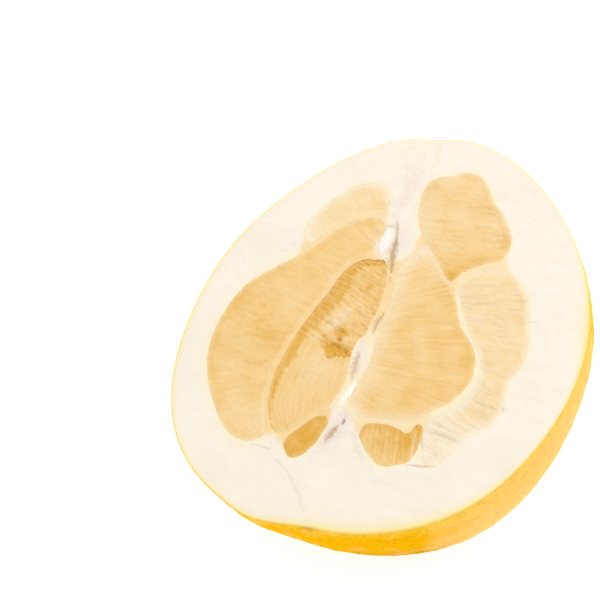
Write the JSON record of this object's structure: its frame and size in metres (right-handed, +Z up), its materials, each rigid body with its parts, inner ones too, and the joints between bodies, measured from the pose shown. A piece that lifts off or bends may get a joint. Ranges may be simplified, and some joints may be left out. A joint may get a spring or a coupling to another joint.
{
  "type": "pomelo half",
  "caption": "Half a pomelo, cut from stem to blossom end, with its rind, thick white pith and open pulp segments, lying on its rounded side.",
  "frame": {"origin": "middle of the footprint, on the surface that the half rests on", "axes": "+Z up, +Y towards the stem end along the cut, +X towards the higher side of the tipped cut face"},
  "size_m": [0.1518, 0.1598, 0.0958],
  "materials": {
    "rind": "waxy citrus peel with fine oil glands, golden yellow with greener and more orange stretches",
    "pith": "soft matt white pith, cream where it is thick and faintly yellow under the rind",
    "pulp": "moist pale gold juice sacs, darker between the sacs",
    "pulp_pale": "moist very pale gold juice sacs, partly under a film of white membrane"
  },
  "bodies": {
    "root": {"rind": "rind", "pith": "pith", "segment_left": "pulp", "segment_upper_left": "pulp_pale", "segment_torn": "pulp", "segment_right": "pulp", "segment_top_right": "pulp", "segment_outer_right": "pulp_pale", "segment_bottom": "pulp", "segment_small": "pulp"}
  },
  "joints": []
}
